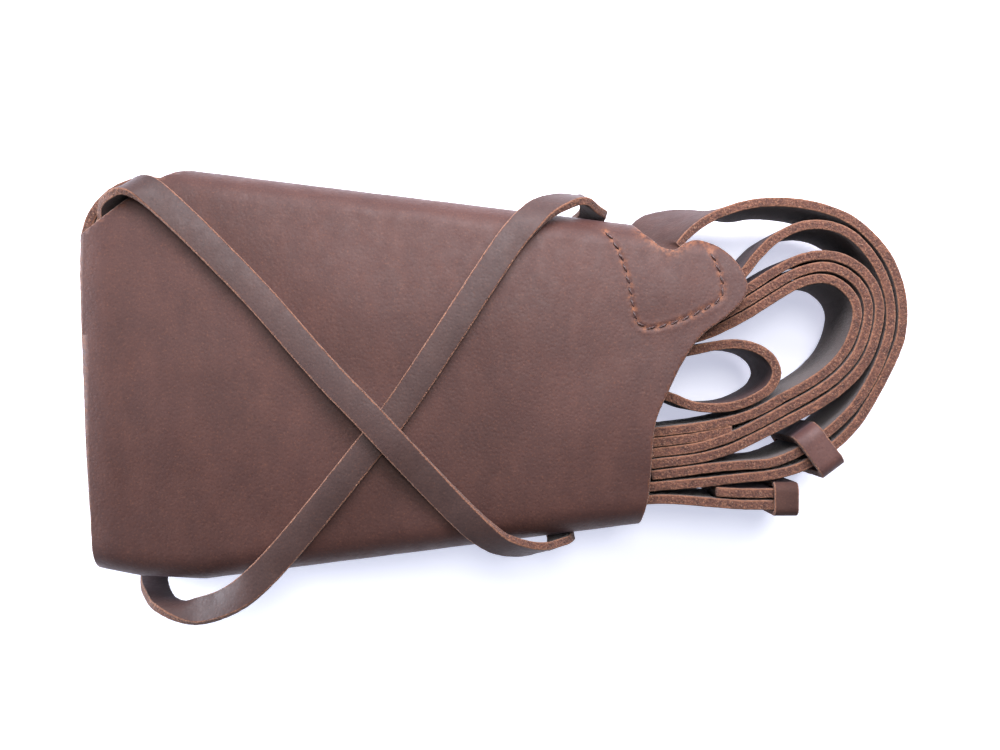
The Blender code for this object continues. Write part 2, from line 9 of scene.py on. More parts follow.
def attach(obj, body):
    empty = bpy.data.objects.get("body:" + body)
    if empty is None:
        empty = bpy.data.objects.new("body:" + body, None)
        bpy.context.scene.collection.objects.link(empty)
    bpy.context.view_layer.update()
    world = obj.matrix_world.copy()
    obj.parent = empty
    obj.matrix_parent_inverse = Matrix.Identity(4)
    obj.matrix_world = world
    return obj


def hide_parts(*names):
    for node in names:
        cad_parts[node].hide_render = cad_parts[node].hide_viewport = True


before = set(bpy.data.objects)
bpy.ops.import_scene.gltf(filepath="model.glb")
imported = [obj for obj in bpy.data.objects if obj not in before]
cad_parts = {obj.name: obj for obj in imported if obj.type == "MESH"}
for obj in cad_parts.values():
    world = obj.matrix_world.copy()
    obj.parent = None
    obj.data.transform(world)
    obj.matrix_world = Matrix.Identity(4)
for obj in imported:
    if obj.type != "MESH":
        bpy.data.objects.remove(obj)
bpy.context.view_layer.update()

# Everything is laid out in millimetres on the resting surface and turned into metres at the end.
METRE = 0.001
CENTRE = np.array([1.35, 4.93, 0.0])

# ---------------------------------------------------------------- the CAD model's own layout

PANEL_THICKNESS = 2.4
STRAP_BOTTOM = 4.8
STRAP_TOP = 29.8
LACE_WIDTH = 6.3
LACE_THICKNESS = 1.8
SLEEVE_BOTTOM = 2.1
SLEEVE_TOP = 35.0
SLEEVE_CORNER = 6.0
SLEEVE_LOWER_CORNER = 3.2
SLEEVE_GAP = 16.0
CORNER_STEPS = 5

TOP_FOLD = [(-93, 47.4), (-72, 46.2), (30, 33.6), (60, 30.0)]
BOTTOM_FOLD = [(-93, -42.6), (-80, -44.9), (-66, -45.6), (30, -33.4), (60, -29.6)]

MOUTH_AND_TAB = [
    (31.5, -32.0), (32.7, -26.0), (33.2, -18.0), (34.1, -9.9), (36.8, -3.5),
    (40.0, 3.0), (44.0, 8.6), (48.9, 12.3), (53.0, 16.2), (54.2, 19.2),
    (52.8, 23.3), (50.0, 26.8), (46.7, 29.0), (43.2, 29.9), (40.8, 29.2),
    (38.4, 27.6), (35.6, 28.1), (33.3, 30.0), (31.0, 32.0),
]
CORNER_CUT_START = (-92.2, 30.8)
CORNER_CUT_TIP_X = -54.0
WIDE_END = [(-91.1, 0.0), (-90.1, -30.0)]
LOWER_SIDE_MOUTH_X = 30.5
UPPER_SIDE_MOUTH_X = 27.0
NOTCH_FOOT_X = 28.0
NOTCH_FOOT_RISE = 8.0
UNDER_MOUTH_X = 30.0
UPPER_LONG_EDGE_XS = (-50.0, -72.0)
LOWER_LONG_EDGE_XS = (-90.0, -80.0, -66.0, -20.0)
WIDE_END_WALL_X = -89.5

STITCH_ROW = [
    (23.2, 31.6), (25.2, 28.8), (27.0, 24.6), (28.4, 18.8), (29.3, 13.6), (30.1, 11.2), (31.8, 10.2),
    (36.6, 11.0), (41.0, 12.6), (45.5, 14.9), (48.0, 16.4), (48.8, 18.6), (48.1, 22.5), (46.2, 27.0),
]

TWIST = [
    ((52.0, 14.8, 31.30), (28.6, 6.3, 31.30)),
    ((50.0, 20.4, 31.30), (26.6, 11.9, 31.30)),
    ((48.2, 25.0, 31.30), (24.6, 17.5, 31.30)),
    ((44.8, 26.6, 31.20), (23.4, 22.4, 30.30)),
    ((41.9, 27.0, 31.10), (23.4, 26.4, 26.40)),
    ((40.2, 27.4, 30.95), (25.2, 28.7, 20.50)),
    ((39.6, 28.1, 30.80), (28.8, 31.3, 14.60)),
    ((40.1, 29.1, 30.60), (33.2, 36.3, 9.60)),
    ((41.6, 30.9, 30.40), (38.2, 38.2, 6.80)),
    ((44.9, 33.7, 30.00), (44.3, 38.8, 5.60)),
    ((49.4, 36.1, 29.80), (50.0, 38.4, 4.80)),
]
OUTER_TURN = [
    (54.5, 37.7), (60.0, 38.4), (66.0, 38.1), (72.0, 36.9), (77.6, 34.6), (82.2, 30.9),
    (86.0, 26.1), (88.4, 20.5), (89.4, 14.5), (88.9, 8.4), (86.9, 3.0), (83.4, -3.9),
    (79.6, -10.1), (75.6, -14.5), (71.1, -17.9), (66.6, -20.5), (60.1, -22.2), (53.3, -22.9),
    (44.7, -23.9), (35.0, -24.7), (0.0, -28.0), (-50.0, -34.4),
]
SECOND_TURN = [
    (-50.0, 35.9), (0.0, 21.2), (24.0, 13.6), (36.0, 11.8), (45.0, 13.9), (54.6, 18.9),
    (60.4, 22.6), (66.1, 25.6), (71.0, 26.6), (75.6, 26.0), (79.6, 23.8), (82.6, 20.3),
    (84.1, 15.5), (83.5, 9.6), (81.3, 3.5), (77.0, -1.9), (71.1, -6.3), (64.4, -9.9),
    (57.8, -13.3), (51.1, -16.5), (44.4, -18.4), (35.0, -19.6), (0.0, -24.6), (-50.0, -31.0),
]
THIRD_TURN = [
    (-50.0, 32.5), (0.0, 18.2), (24.0, 11.1), (36.0, 9.4), (45.0, 11.3), (54.6, 16.1),
    (60.4, 19.7), (66.1, 22.8), (71.0, 24.0), (74.8, 23.5), (78.1, 21.6), (80.5, 18.9),
    (81.7, 15.2), (81.2, 10.4), (79.1, 4.8), (75.3, 0.1), (69.9, -3.9), (63.3, -7.6),
    (56.8, -11.1), (50.4, -14.0), (44.0, -16.0), (35.0, -17.2), (0.0, -21.6), (-50.0, -27.6),
]
FOURTH_TURN = [
    (-50.0, 28.5), (0.0, 15.0), (24.0, 8.6), (36.0, 7.0), (45.0, 8.7), (54.6, 13.3),
    (60.4, 16.9), (66.1, 20.2), (70.6, 21.4), (74.0, 20.9), (76.6, 19.2), (78.3, 17.2),
    (79.2, 14.6), (78.9, 11.2), (77.0, 6.2), (73.6, 1.9), (68.6, -1.8), (62.2, -5.3),
    (58.6, -7.4), (54.2, -9.3), (49.0, -10.7), (43.0, -11.7), (35.0, -12.6), (0.0, -16.0), (-40.0, -20.5),
]
INNER_LOOP = [
    (-46.0, 0.5), (0.0, -3.0), (24.0, -3.6), (33.5, -3.6), (38.0, -5.0), (43.0, -6.9),
    (48.0, -7.3), (52.6, -6.7), (57.0, -4.9), (60.2, -2.5), (61.4, 0.6), (60.1, 3.7),
    (57.0, 5.9), (52.6, 6.9), (47.8, 6.5), (42.6, 5.4), (36.0, 4.3), (24.0, 5.0), (0.0, 10.0), (-50.0, 22.0),
]
STRAP_TAIL = [
    (-50.0, -24.2), (0.0, -18.8), (35.0, -14.9), (44.0, -13.8), (48.4, -12.9), (51.6, -12.2),
]
ADJUSTER_OUT = [
    (33.7, -22.3), (39.6, -21.6), (46.0, -20.7), (53.3, -20.0), (60.0, -19.5), (65.2, -17.6),
    (70.0, -14.7), (74.4, -11.3), (78.6, -7.0), (82.4, -1.0), (85.1, 5.2), (86.6, 11.0),
    (86.5, 17.0), (84.6, 23.0), (81.4, 27.8), (77.6, 31.3), (72.5, 33.2), (66.8, 33.0),
    (61.0, 30.2), (57.0, 26.3), (53.4, 21.9), (48.0, 18.4), (36.0, 15.0), (24.0, 16.7),
    (0.0, 24.4), (-50.0, 38.5),
]
ADJUSTER_BACK = [
    (-50.0, -38.4), (0.0, -31.2), (30.0, -27.9), (37.0, -27.6), (46.0, -28.2), (54.0, -28.8),
    (60.0, -28.8), (62.3, -28.8),
]
ADJUSTER_TAIL = [(62.3, -26.2), (60.0, -26.2), (53.6, -26.2), (48.0, -25.9)]
HAIRPIN_REACH = 1.4
HAIRPIN_BEND = 1.3
HAIRPIN_STEPS = 5
LEFT_LEAN = 1.8
LEFT_TURNS = {
    "adjuster": (-92.0, -39.0, 42.9, 13.8),
    "outer": (-87.0, -36.2, 38.4, 12.0),
    "second": (-84.4, -33.2, 35.2, 12.0),
    "third": (-81.5, -30.2, 32.0, 12.0),
    "tail": (-78.4, -27.2, 27.6, 12.0),
    "inner": (-70.0, -22.6, 1.6, 11.0),
}

LACE = [
    ((-89.1, 6.0, 28.9), (0.0, 0.0, 1.0)),
    ((-89.6, 20.0, 28.9), (0.0, 0.0, 1.0)),
    ((-89.4, 29.0, 28.9), (0.0, 0.0, 1.0)),
    ((-88.8, 33.4, 28.9), (0.0, 0.0, 1.0)),
    ((-87.65, 35.45, 28.9), (0.0, 0.0, 1.0)),
    ((-86.2, 37.35, 31.5), (-0.12, 0.12, 1.0)),
    ((-84.25, 39.1, 35.1), (-0.1, 0.06, 1.0)),
    ((-80.9, 41.1, 36.9), (-0.35, -0.5, 0.75)),
    ((-77.7, 40.8, 37.6), (-0.55, -0.65, 0.42)),
    ((-74.8, 38.9, 37.5), (-0.65, -0.7, 0.25)),
    ((-71.6, 36.1, 37.3), (-0.68, -0.7, 0.2)),
    ((-65.4, 30.2, 37.0), (-0.7, -0.7, 0.16)),
    ((-52.2, 16.8, 36.8), (-0.7, -0.7, 0.1)),
    ((-41.0, 4.2, 37.2), (-0.72, -0.7, 0.06)),
    ((-35.0, -2.2, 38.1), (-0.72, -0.7, 0.0)),
    ((-30.5, -6.7, 38.7), (-0.72, -0.7, 0.0)),
    ((-26.2, -11.2, 38.8), (-0.72, -0.7, 0.0)),
    ((-21.9, -15.9, 38.6), (-0.72, -0.68, 0.0)),
    ((-17.4, -20.8, 37.6), (-0.73, -0.66, -0.06)),
    ((-11.0, -27.6, 36.8), (-0.72, -0.64, -0.14)),
    ((-4.6, -33.8, 36.4), (-0.66, -0.66, -0.3)),
    ((0.0, -37.0, 35.2), (-0.48, -0.62, -0.62)),
    ((5.0, -38.3, 33.6), (-0.2, -0.45, -0.87)),
    ((9.4, -38.2, 32.2), (0.0, -0.15, -0.99)),
    ((12.5, -37.6, 29.8), (-0.1, -0.1, -1.0)),
    ((13.7, -37.4, 24.8), (-0.6, -0.25, -0.5)),
    ((14.0, -37.3, 17.0), (-0.95, -0.1, -0.1)),
    ((14.1, -37.2, 9.0), (-1.0, 0.0, 0.0)),
    ((14.1, -37.1, 4.2), (-1.0, 0.0, 0.0)),
    ((14.2, -33.9, 1.3), (-1.0, 0.0, 0.0)),
    ((14.4, -28.0, 0.9), (-1.0, 0.08, 0.0)),
    ((15.8, -12.0, 0.9), (-1.0, 0.1, 0.0)),
    ((18.2, 12.0, 0.9), (-1.0, 0.1, 0.0)),
    ((20.0, 29.4, 0.9), (-1.0, 0.1, 0.0)),
    ((20.5, 34.8, 1.9), (-1.0, 0.1, 0.0)),
    ((20.2, 36.7, 5.6), (-1.0, 0.1, 0.0)),
    ((20.5, 36.5, 13.0), (-0.97, 0.15, 0.0)),
    ((21.0, 36.6, 20.0), (-0.9, 0.15, -0.2)),
    ((21.0, 37.1, 26.0), (-0.6, 0.2, -0.6)),
    ((19.9, 38.0, 30.4), (-0.15, 0.15, -0.95)),
    ((18.2, 38.7, 32.3), (0.0, 0.12, -1.0)),
    ((14.7, 38.5, 33.6), (-0.25, 0.4, -0.88)),
    ((9.4, 36.5, 35.5), (-0.58, 0.62, -0.53)),
    ((6.3, 33.9, 36.6), (-0.72, 0.66, -0.22)),
    ((2.2, 29.2, 36.5), (-0.82, 0.56, 0.0)),
    ((-3.1, 21.3, 36.4), (-0.83, 0.55, 0.0)),
    ((-12.6, 6.6, 36.3), (-0.83, 0.55, 0.0)),
    ((-22.6, -8.2, 36.3), (-0.83, 0.55, 0.0)),
    ((-32.0, -20.2, 36.3), (-0.8, 0.6, 0.0)),
    ((-41.7, -32.2, 36.3), (-0.78, 0.62, 0.0)),
    ((-49.0, -40.6, 36.4), (-0.74, 0.66, 0.0)),
    ((-53.2, -44.9, 36.3), (-0.66, 0.74, -0.1)),
    ((-56.9, -48.0, 35.4), (-0.42, 0.88, -0.25)),
    ((-61.4, -50.6, 33.7), (-0.26, 0.86, -0.45)),
    ((-66.6, -52.3, 31.4), (-0.05, 0.84, -0.55)),
    ((-71.4, -52.5, 28.6), (0.05, 0.4, -0.9)),
    ((-75.6, -51.6, 24.6), (0.15, 0.15, -0.97)),
    ((-79.2, -50.2, 17.8), (0.45, 0.0, -0.85)),
    ((-82.0, -48.8, 9.8), (0.9, 0.0, -0.35)),
    ((-83.4, -47.2, 3.8), (1.0, 0.0, 0.0)),
    ((-83.9, -43.4, 1.3), (1.0, 0.0, 0.0)),
    ((-84.0, -37.0, 0.9), (1.0, 0.0, 0.0)),
    ((-84.0, -18.0, 0.9), (1.0, 0.0, 0.0)),
    ((-84.0, 4.0, 0.9), (1.0, 0.0, 0.0)),
    ((-84.0, 24.0, 0.9), (1.0, 0.0, 0.0)),
]

# Middle, direction along the strap, outside size across the strap, along it, wall
LARGE_KEEPER = ((70.6, -16.6), (-0.80, -0.60), 11.4, 6.0, 1.9)
SMALL_KEEPER = ((63.3, -27.5), (-1.0, 0.0), 7.5, 5.4, 1.1)
KEEPER_CLEARANCE = 0.4
KEEPER_INNER_CORNER = 0.8

# ---------------------------------------------------------------- how finely the looks are made

STRIP_SPACING = 1.0
STRAP_FULLNESS = 2.12
CURVE_STEPS = 12
EDGE_RADIUS = 0.32
COARSE_GRID = 1.6
GRID_START = -58 * COARSE_GRID
FINE_GRID = 0.5
FINE_X = (19.0, 55.0)
FINE_Y = (4.0, 36.0)
WELD_DISTANCE = 1e-4
RIM_INSET = 0.22
RIM_ROWS = [(0.17, 0.07), (0.26, 0.25), (0.28, 0.5), (0.22, 0.75), (0.1, 0.94)]

# How the top of the sleeve settles: towards the folds, at the wide end, and in slow waves
CROWN = 2.5
CROWN_POWER = 2.2
UNMOVED_BELOW = 8.0
MOVED_OVER = SLEEVE_TOP - 12.0
END_CURL = 1.5
END_CURL_REACH = 9.0
WAVE_HEIGHT = 0.55
LACE_SETTLE = 0.25

STITCH_PITCH = 2.62
STITCH_GAP = 0.22
STITCH_SLANT = 0.2
PLY_RADIUS = 0.145
PLY_OFFSET = 0.55 * PLY_RADIUS
PLY_TURNS = 1.4
PLY_SIDES = 8
PLY_RINGS = 17
TAB_BULGE = 0.35
TAB_BULGE_RADIUS = 13.0
STITCH_FOOT = 0.3 * TAB_BULGE - 0.75
STITCH_RISE = 0.8

# The leather round the stitches: a groove, the lip raised beside it, and where the wax is rubbed off
GROOVE_DEPTH = 0.26
GROOVE_WIDTH = 0.42
PUCKER_HEIGHT = 0.12
PUCKER_PLACE = 0.85
PUCKER_WIDTH = 0.45
HOLE_RUB = (0.9, 0.7)
ROW_RUB = (0.12, 1.0)
LIP_RUB = (0.7, 1.5)
RIM_RUB = 0.45

GRAIN, FLESH, CUT = 0, 1, 2


# ---------------------------------------------------------------- curves


def catmull_rom(points, steps=CURVE_STEPS):
    """A smooth curve through all the points, in any number of dimensions."""
    points = np.asarray(points, float)
    padded = np.vstack([2 * points[0] - points[1], points, 2 * points[-1] - points[-2]])
    curve = []
    for before, start, end, after in zip(padded, padded[1:], padded[2:], padded[3:]):
        first, middle, last = [max(np.linalg.norm(b - a), 1e-6) ** 0.5
                               for a, b in ((before, start), (start, end), (end, after))]
        leave = (start - before) / first - (end - before) / (first + middle) + (end - start) / middle
        arrive = (end - start) / middle - (after - start) / (middle + last) + (after - end) / last
        leave, arrive = leave * middle, arrive * middle
        for t in np.arange(steps) / steps:
            curve.append(
                start * (2 * t**3 - 3 * t**2 + 1) + leave * (t**3 - 2 * t**2 + t)
                + end * (3 * t**2 - 2 * t**3) + arrive * (t**3 - t**2)
            )
    curve.append(points[-1])
    return np.array(curve)


def lengths_along(points):
    return np.concatenate([[0.0], np.cumsum(np.linalg.norm(np.diff(points, axis=0), axis=1))])


def resampled(curve, spacing, lengths):
    """The rows of a curve at an even spacing of the given lengths."""
    count = max(2, int(round(lengths[-1] / spacing)) + 1)
    wanted = np.linspace(0.0, lengths[-1], count)
    return np.column_stack([np.interp(wanted, lengths, column) for column in curve.T])


def unit(vectors):
    return vectors / np.linalg.norm(vectors, axis=-1, keepdims=True)


def along(table, x):
    """The height of a bent line, given as (x, y) corners, at x."""
    for (x0, y0), (x1, y1) in zip(table, table[1:]):
        if x <= x1:
            return y0 + (y1 - y0) * (x - x0) / (x1 - x0)
    return table[-1][1]


def smooth_step(value):
    value = min(max(value, 0.0), 1.0)
    return value * value * (3.0 - 2.0 * value)


def faded(distance, most, reach):
    """A bell curve: most at no distance, gone by about twice the reach."""
    return most * math.exp(-((distance / reach) ** 2))


def ripple(x, y=0.0, z=0.0):
    """Smooth noise from -1 to 1 that is the same on every run."""
    return noise.noise(Vector((x, y, z)))


def left_turn(name, upward=True):
    """A run's turn at the wide end: in along the lower run, round and out along the upper one."""
    left, low, high, radius = LEFT_TURNS[name]
    radius = min(radius, 0.49 * (high - low))
    turn = []
    for middle_y, start, lean in ((low + radius, -90, LEFT_LEAN), (high - radius, -180, 0.0)):
        middle_x = left + radius + lean
        for step in range(CORNER_STEPS + 1):
            angle = math.radians(start - 90 * step / CORNER_STEPS)
            turn.append((middle_x + radius * math.cos(angle), middle_y + radius * math.sin(angle)))
    return turn if upward else turn[::-1]


# ---------------------------------------------------------------- the shape of the sleeve


def fold(side, x):
    """Distance of a fold from the line y = 0, on the top fold's side or the bottom one's."""
    return along(TOP_FOLD, x) if side > 0 else -along(BOTTOM_FOLD, x)


def bends(side, x):
    """Distances over the leather at which it starts or stops bending: corner, wall, corner, underside."""
    upper = fold(side, x) - SLEEVE_CORNER
    wall = upper + 0.5 * math.pi * SLEEVE_CORNER
    lower = wall + SLEEVE_TOP - SLEEVE_BOTTOM - SLEEVE_CORNER - SLEEVE_LOWER_CORNER
    return upper, wall, lower, lower + 0.5 * math.pi * SLEEVE_LOWER_CORNER


def wall_middle(side, x):
    _, wall, lower, _ = bends(side, x)
    return side * 0.5 * (wall + lower)


def long_edge(side, x):
    under_half = fold(side, x) - SLEEVE_LOWER_CORNER - 0.5 * SLEEVE_GAP
    return side * (bends(side, x)[3] + under_half)


def wrapped(x, around, depth):
    """A point of the panel: around is measured over the leather from y = 0, depth is inwards."""
    side = 1 if around >= 0 else -1
    rest = abs(around)
    upper, wall, lower, under = bends(side, x)
    outside = fold(side, x)
    if rest <= upper:
        return [x, side * rest, SLEEVE_TOP - depth]
    if rest <= wall:
        angle = (rest - upper) / SLEEVE_CORNER
        reach = SLEEVE_CORNER - depth
        return [x, side * (outside - SLEEVE_CORNER + reach * math.sin(angle)),
                SLEEVE_TOP - SLEEVE_CORNER + reach * math.cos(angle)]
    if rest <= lower:
        return [x, side * (outside - depth), SLEEVE_TOP - SLEEVE_CORNER - (rest - wall)]
    if rest <= under:
        angle = (rest - lower) / SLEEVE_LOWER_CORNER
        reach = SLEEVE_LOWER_CORNER - depth
        return [x, side * (outside - SLEEVE_LOWER_CORNER + reach * math.cos(angle)),
                SLEEVE_BOTTOM + SLEEVE_LOWER_CORNER - reach * math.sin(angle)]
    return [x, side * (outside - SLEEVE_LOWER_CORNER - (rest - under)), SLEEVE_BOTTOM + depth]


def around_at(x, y):
    """The distance over the leather of a point that is seen on top at (x, y)."""
    side = 1 if y >= 0 else -1
    upper = bends(side, x)[0]
    beyond = abs(y) - upper
    if beyond <= 0:
        return y
    return side * (upper + SLEEVE_CORNER * math.asin(min(beyond / SLEEVE_CORNER, 1.0)))


def settled(x, y):
    """How far the soft top of the sleeve lies below its nominal height at (x, y)."""
    side = 1 if y >= 0 else -1
    out = min(abs(y) / fold(side, x), 1.0)
    drop = CROWN * out**CROWN_POWER
    drop += END_CURL * max(0.0, (CORNER_CUT_START[0] + END_CURL_REACH - x) / END_CURL_REACH) ** 2
    long_wave = WAVE_HEIGHT * ripple(x / 31.0, y / 24.0, 1.7)
    short_wave = 0.3 * WAVE_HEIGHT * ripple(x / 11.0, y / 13.0, 5.1)
    drop += long_wave + short_wave
    return drop


def settle(point):
    """A point near the top of the sleeve, moved down with the leather; lower ones move less."""
    x, y, z = point
    share = smooth_step((z - UNMOVED_BELOW) / MOVED_OVER)
    return [x, y, z - settled(x, y) * share]


def top_height(x, y):
    """The height of the leather's outer face where it is seen from above."""
    side = 1 if y >= 0 else -1
    beyond = min(max(abs(y) - bends(side, x)[0], 0.0), SLEEVE_CORNER)
    corner = SLEEVE_CORNER - math.sqrt(SLEEVE_CORNER**2 - beyond**2)
    return SLEEVE_TOP - corner - settled(x, y)


# ---------------------------------------------------------------- meshes


def make_piece(name, points, faces, zones, materials, attributes, body, nodes):
    """A closed, smooth-shaded mesh in the frame, standing for its CAD nodes."""
    mesh = bpy.data.meshes.new(name)
    mesh.from_pydata(((np.asarray(points) + CENTRE) * METRE).tolist(), [], faces)
    for material in materials:
        mesh.materials.append(material)
    mesh.polygons.foreach_set("material_index", zones)
    for label, values in attributes.items():
        mesh.attributes.new(label, "FLOAT", "POINT").data.foreach_set("value", np.asarray(values, np.float32))
    shape = bmesh.new()
    shape.from_mesh(mesh)
    bmesh.ops.triangulate(shape, faces=[face for face in shape.faces if len(face.verts) > 4])
    bmesh.ops.recalc_face_normals(shape, faces=shape.faces)
    shape.to_mesh(mesh)
    shape.free()
    mesh.shade_smooth()
    piece = bpy.data.objects.new(name, mesh)
    bpy.context.scene.collection.objects.link(piece)
    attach(piece, body)
    if nodes:
        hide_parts(*nodes)
    return piece


def section(half_width, half_depth, grain_side, radius=EDGE_RADIUS, spacing=1.6):
    """Points (across, depth, rim) round a strip with softened corners, and each side's zone."""
    inner_width, inner_depth = half_width - radius, half_depth - radius
    ring, zones = [], []
    flat = np.linspace(inner_width, -inner_width, max(3, int(2 * inner_width / spacing)))
    edge = np.linspace(inner_depth, -inner_depth, 4)

    def corner(across, depth, start):
        for step in (1, 2):
            angle = math.radians(start + 30 * step)
            ring.append((across + radius * math.cos(angle), depth + radius * math.sin(angle), 1.0))
            zones.append(CUT)

    for across in flat:
        ring.append((across, half_depth, 0.0))
        zones.append(GRAIN if grain_side > 0 else FLESH)
    zones[-1] = CUT
    corner(-inner_width, inner_depth, 90)
    for depth in edge:
        ring.append((-half_width, depth, abs(depth) / half_depth))
        zones.append(CUT)
    corner(-inner_width, -inner_depth, 180)
    for across in flat[::-1]:
        ring.append((across, -half_depth, 0.0))
        zones.append(FLESH if grain_side > 0 else GRAIN)
    zones[-1] = CUT
    corner(inner_width, -inner_depth, 270)
    for depth in edge[::-1]:
        ring.append((half_width, depth, abs(depth) / half_depth))
        zones.append(CUT)
    corner(inner_width, inner_depth, 0)
    return ring, zones


def strip(name, middles, halves, thickness, grain_side, seed, materials, body, nodes,
          closed=False, rise=0.0, roughness=0.1, adjust=None):
    """A strip of leather; halves are the vectors from its middle line to one cut edge."""
    if closed:
        ahead = unit(np.roll(middles, -1, axis=0) - np.roll(middles, 1, axis=0))
    else:
        ahead = unit(np.gradient(middles, axis=0))
    widths = np.linalg.norm(halves, axis=1)
    across = unit(halves)
    deep = unit(np.cross(ahead, across))
    ring, ring_zones = section(widths.mean(), 0.5 * thickness, grain_side)
    travelled = lengths_along(middles)
    points, rims = [], []
    for i, s in enumerate(travelled):
        lift = rise * ripple(s / 23.0, seed)
        thicker = 1.0 + 0.05 * ripple(s / 9.0, seed + 4.0)
        scale = widths[i] / widths.mean()
        for u, v, rim in ring:
            raw = 0.0
            if abs(u) > widths.mean() - EDGE_RADIUS - 0.01:
                coarse = roughness * ripple(s / 0.9, v * 1.6, seed + u)
                fine = 0.6 * roughness * ripple(s / 0.35, v * 3.0, seed)
                raw = coarse + fine
            side = 1 if u > 0 else -1
            point = (middles[i] + across[i] * (u * scale + side * raw + lift)
                     + deep[i] * (v * thicker + 0.5 * raw * (1 if v > 0 else -1)))
            points.append(point if adjust is None else adjust(point))
            rims.append(rim)
    count, rings = len(ring), len(middles)
    faces, zones = [], []
    for i in range(rings if closed else rings - 1):
        j = (i + 1) % rings
        for k in range(count):
            m = (k + 1) % count
            faces.append((i * count + k, i * count + m, j * count + m, j * count + k))
            zones.append(ring_zones[k])
    if not closed:
        faces.append(tuple(range(count)))
        faces.append(tuple((rings - 1) * count + k for k in range(count)))
        zones += [CUT, CUT]
    return make_piece(name, points, faces, zones, materials, {"rim": rims}, body, nodes)


def on_edge(route):
    """Upper and lower edges of a strap that stands upright along a route of (x, y) points."""
    return [((x, y, STRAP_TOP), (x, y, STRAP_BOTTOM)) for x, y in route]


def edge_strip(edges):
    """Middles and half-width vectors at an even spacing, from (upper, lower) edge points."""
    curve = catmull_rom([[*upper, *lower] for upper, lower in edges])
    middles = 0.5 * (curve[:, :3] + curve[:, 3:])
    even = resampled(curve, STRIP_SPACING, lengths_along(middles))
    return 0.5 * (even[:, :3] + even[:, 3:]), 0.5 * (even[:, :3] - even[:, 3:])


# ---------------------------------------------------------------- node materials


class Nodes:
    """Short names for building a material's nodes."""

    def __init__(self, name):
        self.material = bpy.data.materials.new(name)
        self.material.use_nodes = True
        self.tree = self.material.node_tree
        self.shader = self.tree.nodes["Principled BSDF"]
        self.where = self.tree.nodes.new("ShaderNodeTexCoord").outputs["Object"]

    def set(self, **values):
        for label, value in values.items():
            socket = self.shader.inputs[label.replace("_", " ")]
            if isinstance(value, bpy.types.NodeSocket):
                self.tree.links.new(value, socket)
            else:
                socket.default_value = value

    def link(self, socket, value):
        if isinstance(value, bpy.types.NodeSocket):
            self.tree.links.new(value, socket)
        else:
            socket.default_value = value

    def stretched(self, scale):
        node = self.tree.nodes.new("ShaderNodeMapping")
        node.inputs["Scale"].default_value = scale
        self.tree.links.new(self.where, node.inputs["Vector"])
        return node.outputs["Vector"]

    def noise(self, scale, detail=3.0, rough=0.55, where=None):
        node = self.tree.nodes.new("ShaderNodeTexNoise")
        node.inputs["Scale"].default_value = scale
        node.inputs["Detail"].default_value = detail
        node.inputs["Roughness"].default_value = rough
        self.tree.links.new(where or self.where, node.inputs["Vector"])
        return node.outputs["Fac"]

    def cells(self, scale, feature="F1", output="Distance", where=None):
        node = self.tree.nodes.new("ShaderNodeTexVoronoi")
        node.feature = feature
        node.inputs["Scale"].default_value = scale
        self.tree.links.new(where or self.where, node.inputs["Vector"])
        return node.outputs[output]

    def range(self, value, low, high, start=0.0, end=1.0):
        node = self.tree.nodes.new("ShaderNodeMapRange")
        self.link(node.inputs["Value"], value)
        for label, number in (("From Min", low), ("From Max", high), ("To Min", start), ("To Max", end)):
            node.inputs[label].default_value = number
        return node.outputs["Result"]

    def maths(self, operation, a, b=0.0):
        node = self.tree.nodes.new("ShaderNodeMath")
        node.operation = operation
        self.link(node.inputs[0], a)
        self.link(node.inputs[1], b)
        return node.outputs[0]

    def mix(self, share, a, b, blend="MIX"):
        node = self.tree.nodes.new("ShaderNodeMix")
        node.data_type = "RGBA"
        node.blend_type = blend
        self.link(node.inputs["Factor"], share)
        for socket, value in ((node.inputs[6], a), (node.inputs[7], b)):
            self.link(socket, value if isinstance(value, bpy.types.NodeSocket) else (*value, 1.0))
        return node.outputs[2]

    def attribute(self, name):
        node = self.tree.nodes.new("ShaderNodeAttribute")
        node.attribute_name = name
        return node.outputs["Fac"]

    def bump(self, height, distance, strength=1.0, under=None):
        node = self.tree.nodes.new("ShaderNodeBump")
        node.inputs["Distance"].default_value = distance
        node.inputs["Strength"].default_value = strength
        self.tree.links.new(height, node.inputs["Height"])
        if under is not None:
            self.tree.links.new(under, node.inputs["Normal"])
        return node.outputs["Normal"]


SHEEN_TINT = (0.86, 0.80, 1.0, 1.0)


